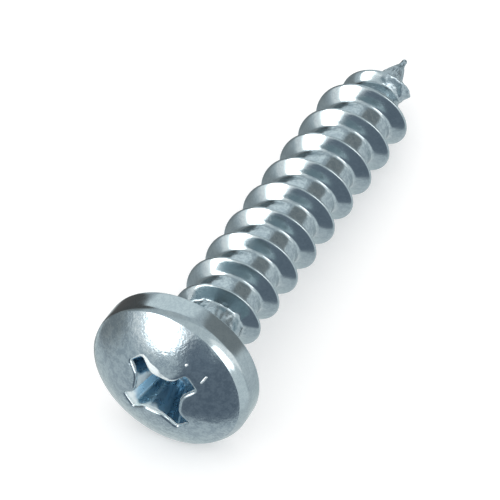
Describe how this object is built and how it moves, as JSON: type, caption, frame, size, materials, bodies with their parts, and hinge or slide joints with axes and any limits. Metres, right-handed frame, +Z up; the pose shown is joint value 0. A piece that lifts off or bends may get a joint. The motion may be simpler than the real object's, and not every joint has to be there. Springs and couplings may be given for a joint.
{
  "type": "sheet metal screw",
  "caption": "Pan head tapping screw for sheet metal, with a cross recess, a coarse thread up to the head and a sharp gimlet point, bright zinc plated.",
  "frame": {"origin": "centre of the footprint, on the surface that the screw lies on", "axes": "+X along the screw from the head to the point, which dips 6 degrees because the head is wider than the thread; +Z up"},
  "size_m": [0.0284, 0.0088, 0.009],
  "materials": {
    "zinc_plate": "steel with bright zinc plating, slightly blue, finely mottled"
  },
  "bodies": {
    "root": {"screw": "zinc_plate"}
  },
  "joints": []
}
